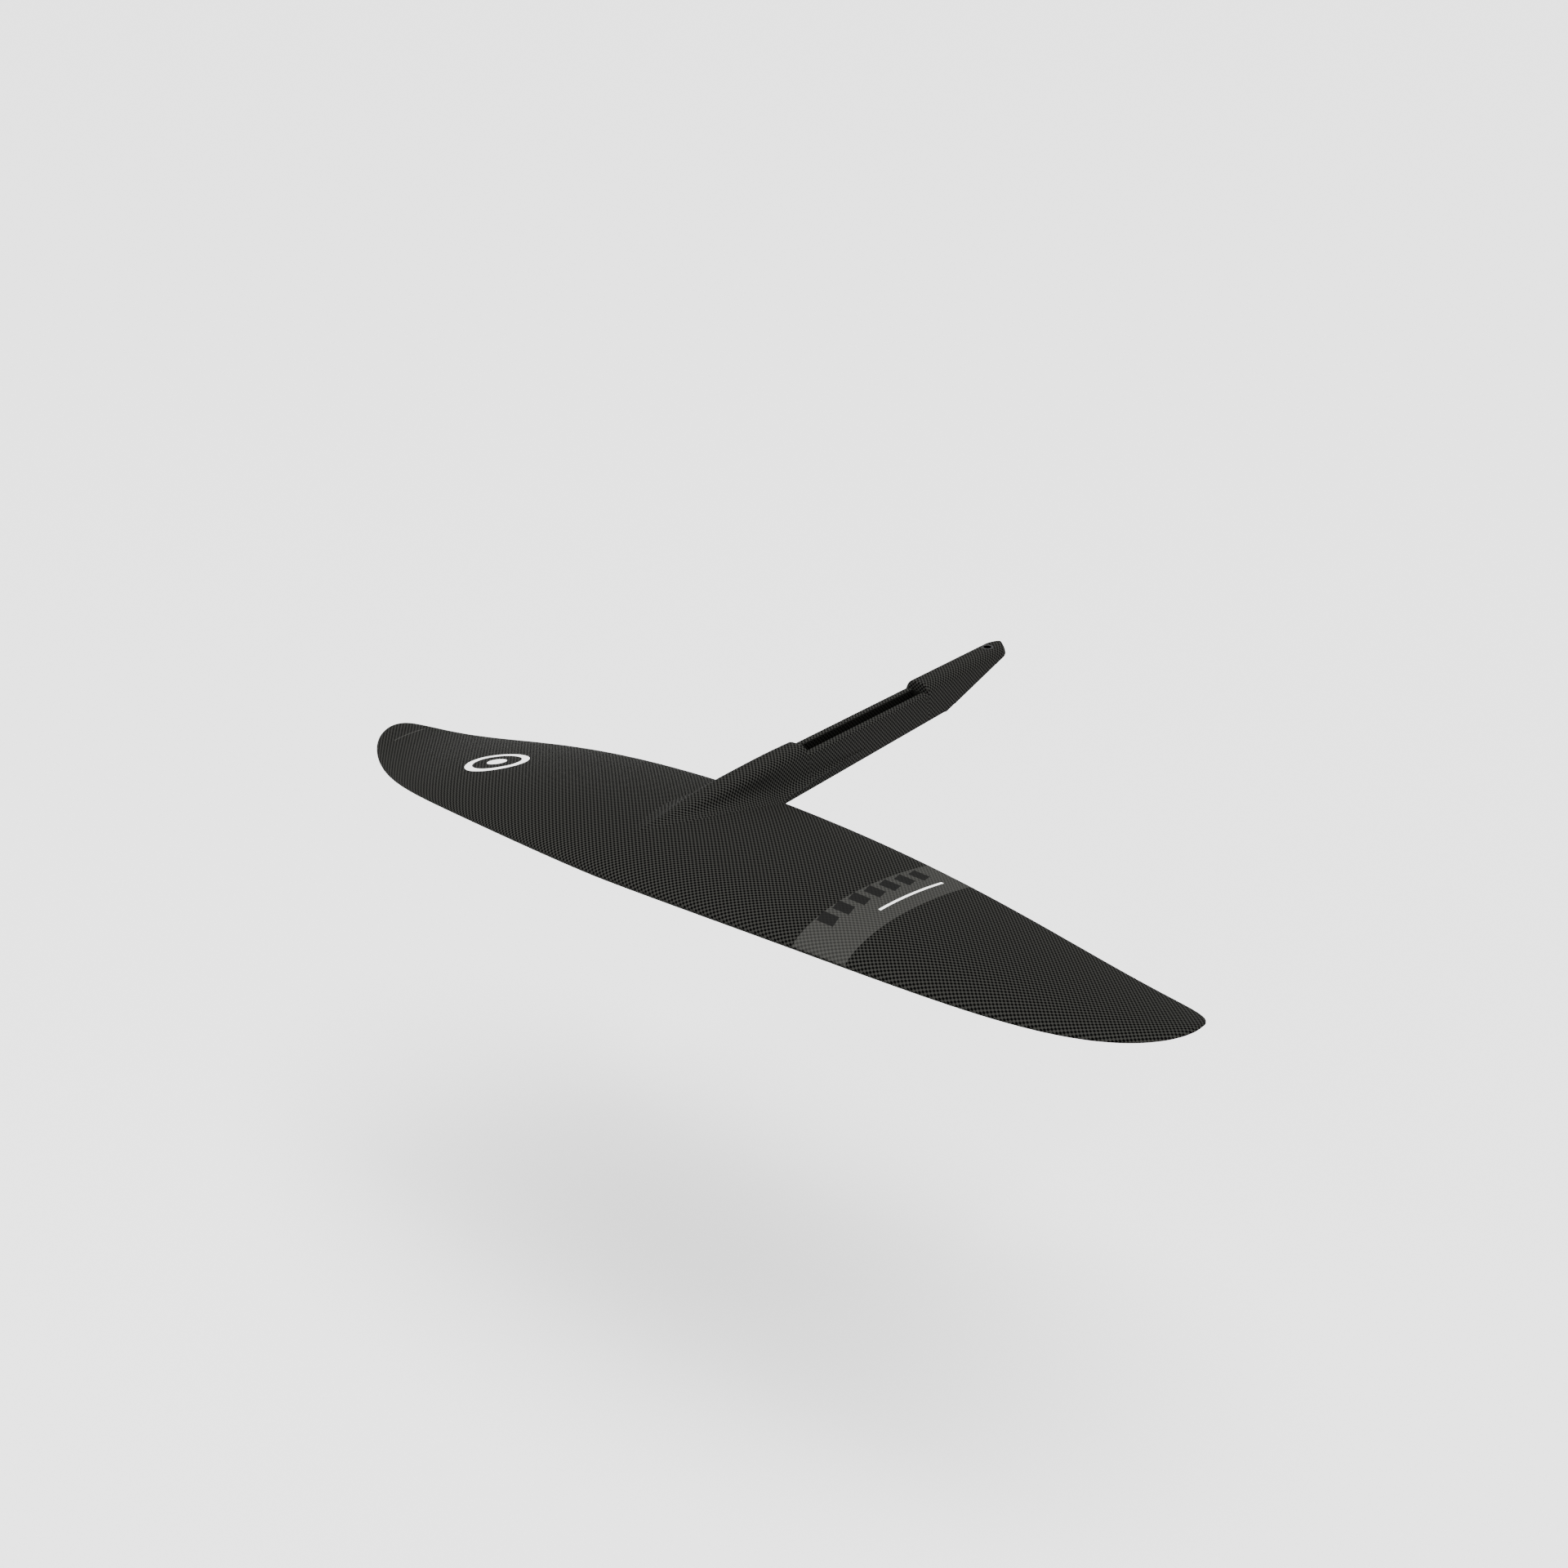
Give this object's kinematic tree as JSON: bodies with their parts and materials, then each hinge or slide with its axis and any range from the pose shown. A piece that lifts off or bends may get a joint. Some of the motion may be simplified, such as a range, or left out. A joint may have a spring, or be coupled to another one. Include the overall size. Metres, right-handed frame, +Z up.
{
  "type": "hydrofoil front wing",
  "caption": "One-piece carbon hydrofoil front wing: swept, drooped lifting wing faired into a slim fuselage with an open mast slot and a scarfed tail end",
  "frame": {"origin": "on the floor of the mast slot, midway between the two mast bolts", "axes": "+X along the span, +Y back to the tail, +Z up out of the mast slot"},
  "size_m": [0.7472, 0.477, 0.0721],
  "materials": {
    "carbon_skin": "woven carbon fibre in satin resin",
    "carbon_socket": "moulded carbon fibre, matt",
    "carbon_inner": "unidirectional carbon fibre, hidden",
    "foam": "structural foam, hidden",
    "ferrule": "black anodised aluminium"
  },
  "bodies": {
    "root": {"upper_skin": "carbon_skin", "lower_skin": "carbon_skin", "leading_edge": "carbon_skin", "trailing_edge": "carbon_skin", "tip_left": "carbon_skin", "tip_right": "carbon_skin", "fuselage_shell": "carbon_skin", "root_fillet_left": "carbon_skin", "root_fillet_right": "carbon_skin", "mast_socket": "carbon_socket", "spar_cap_upper": "carbon_inner", "spar_cap_lower": "carbon_inner", "spar_core": "foam", "front_core_left": "foam", "front_core_right": "foam", "rear_core_left": "foam", "rear_core_right": "foam", "nose_core": "foam", "tail_core": "foam", "mast_ferrule_front": "ferrule", "mast_ferrule_rear": "ferrule", "tail_ferrule": "ferrule"}
  },
  "joints": []
}
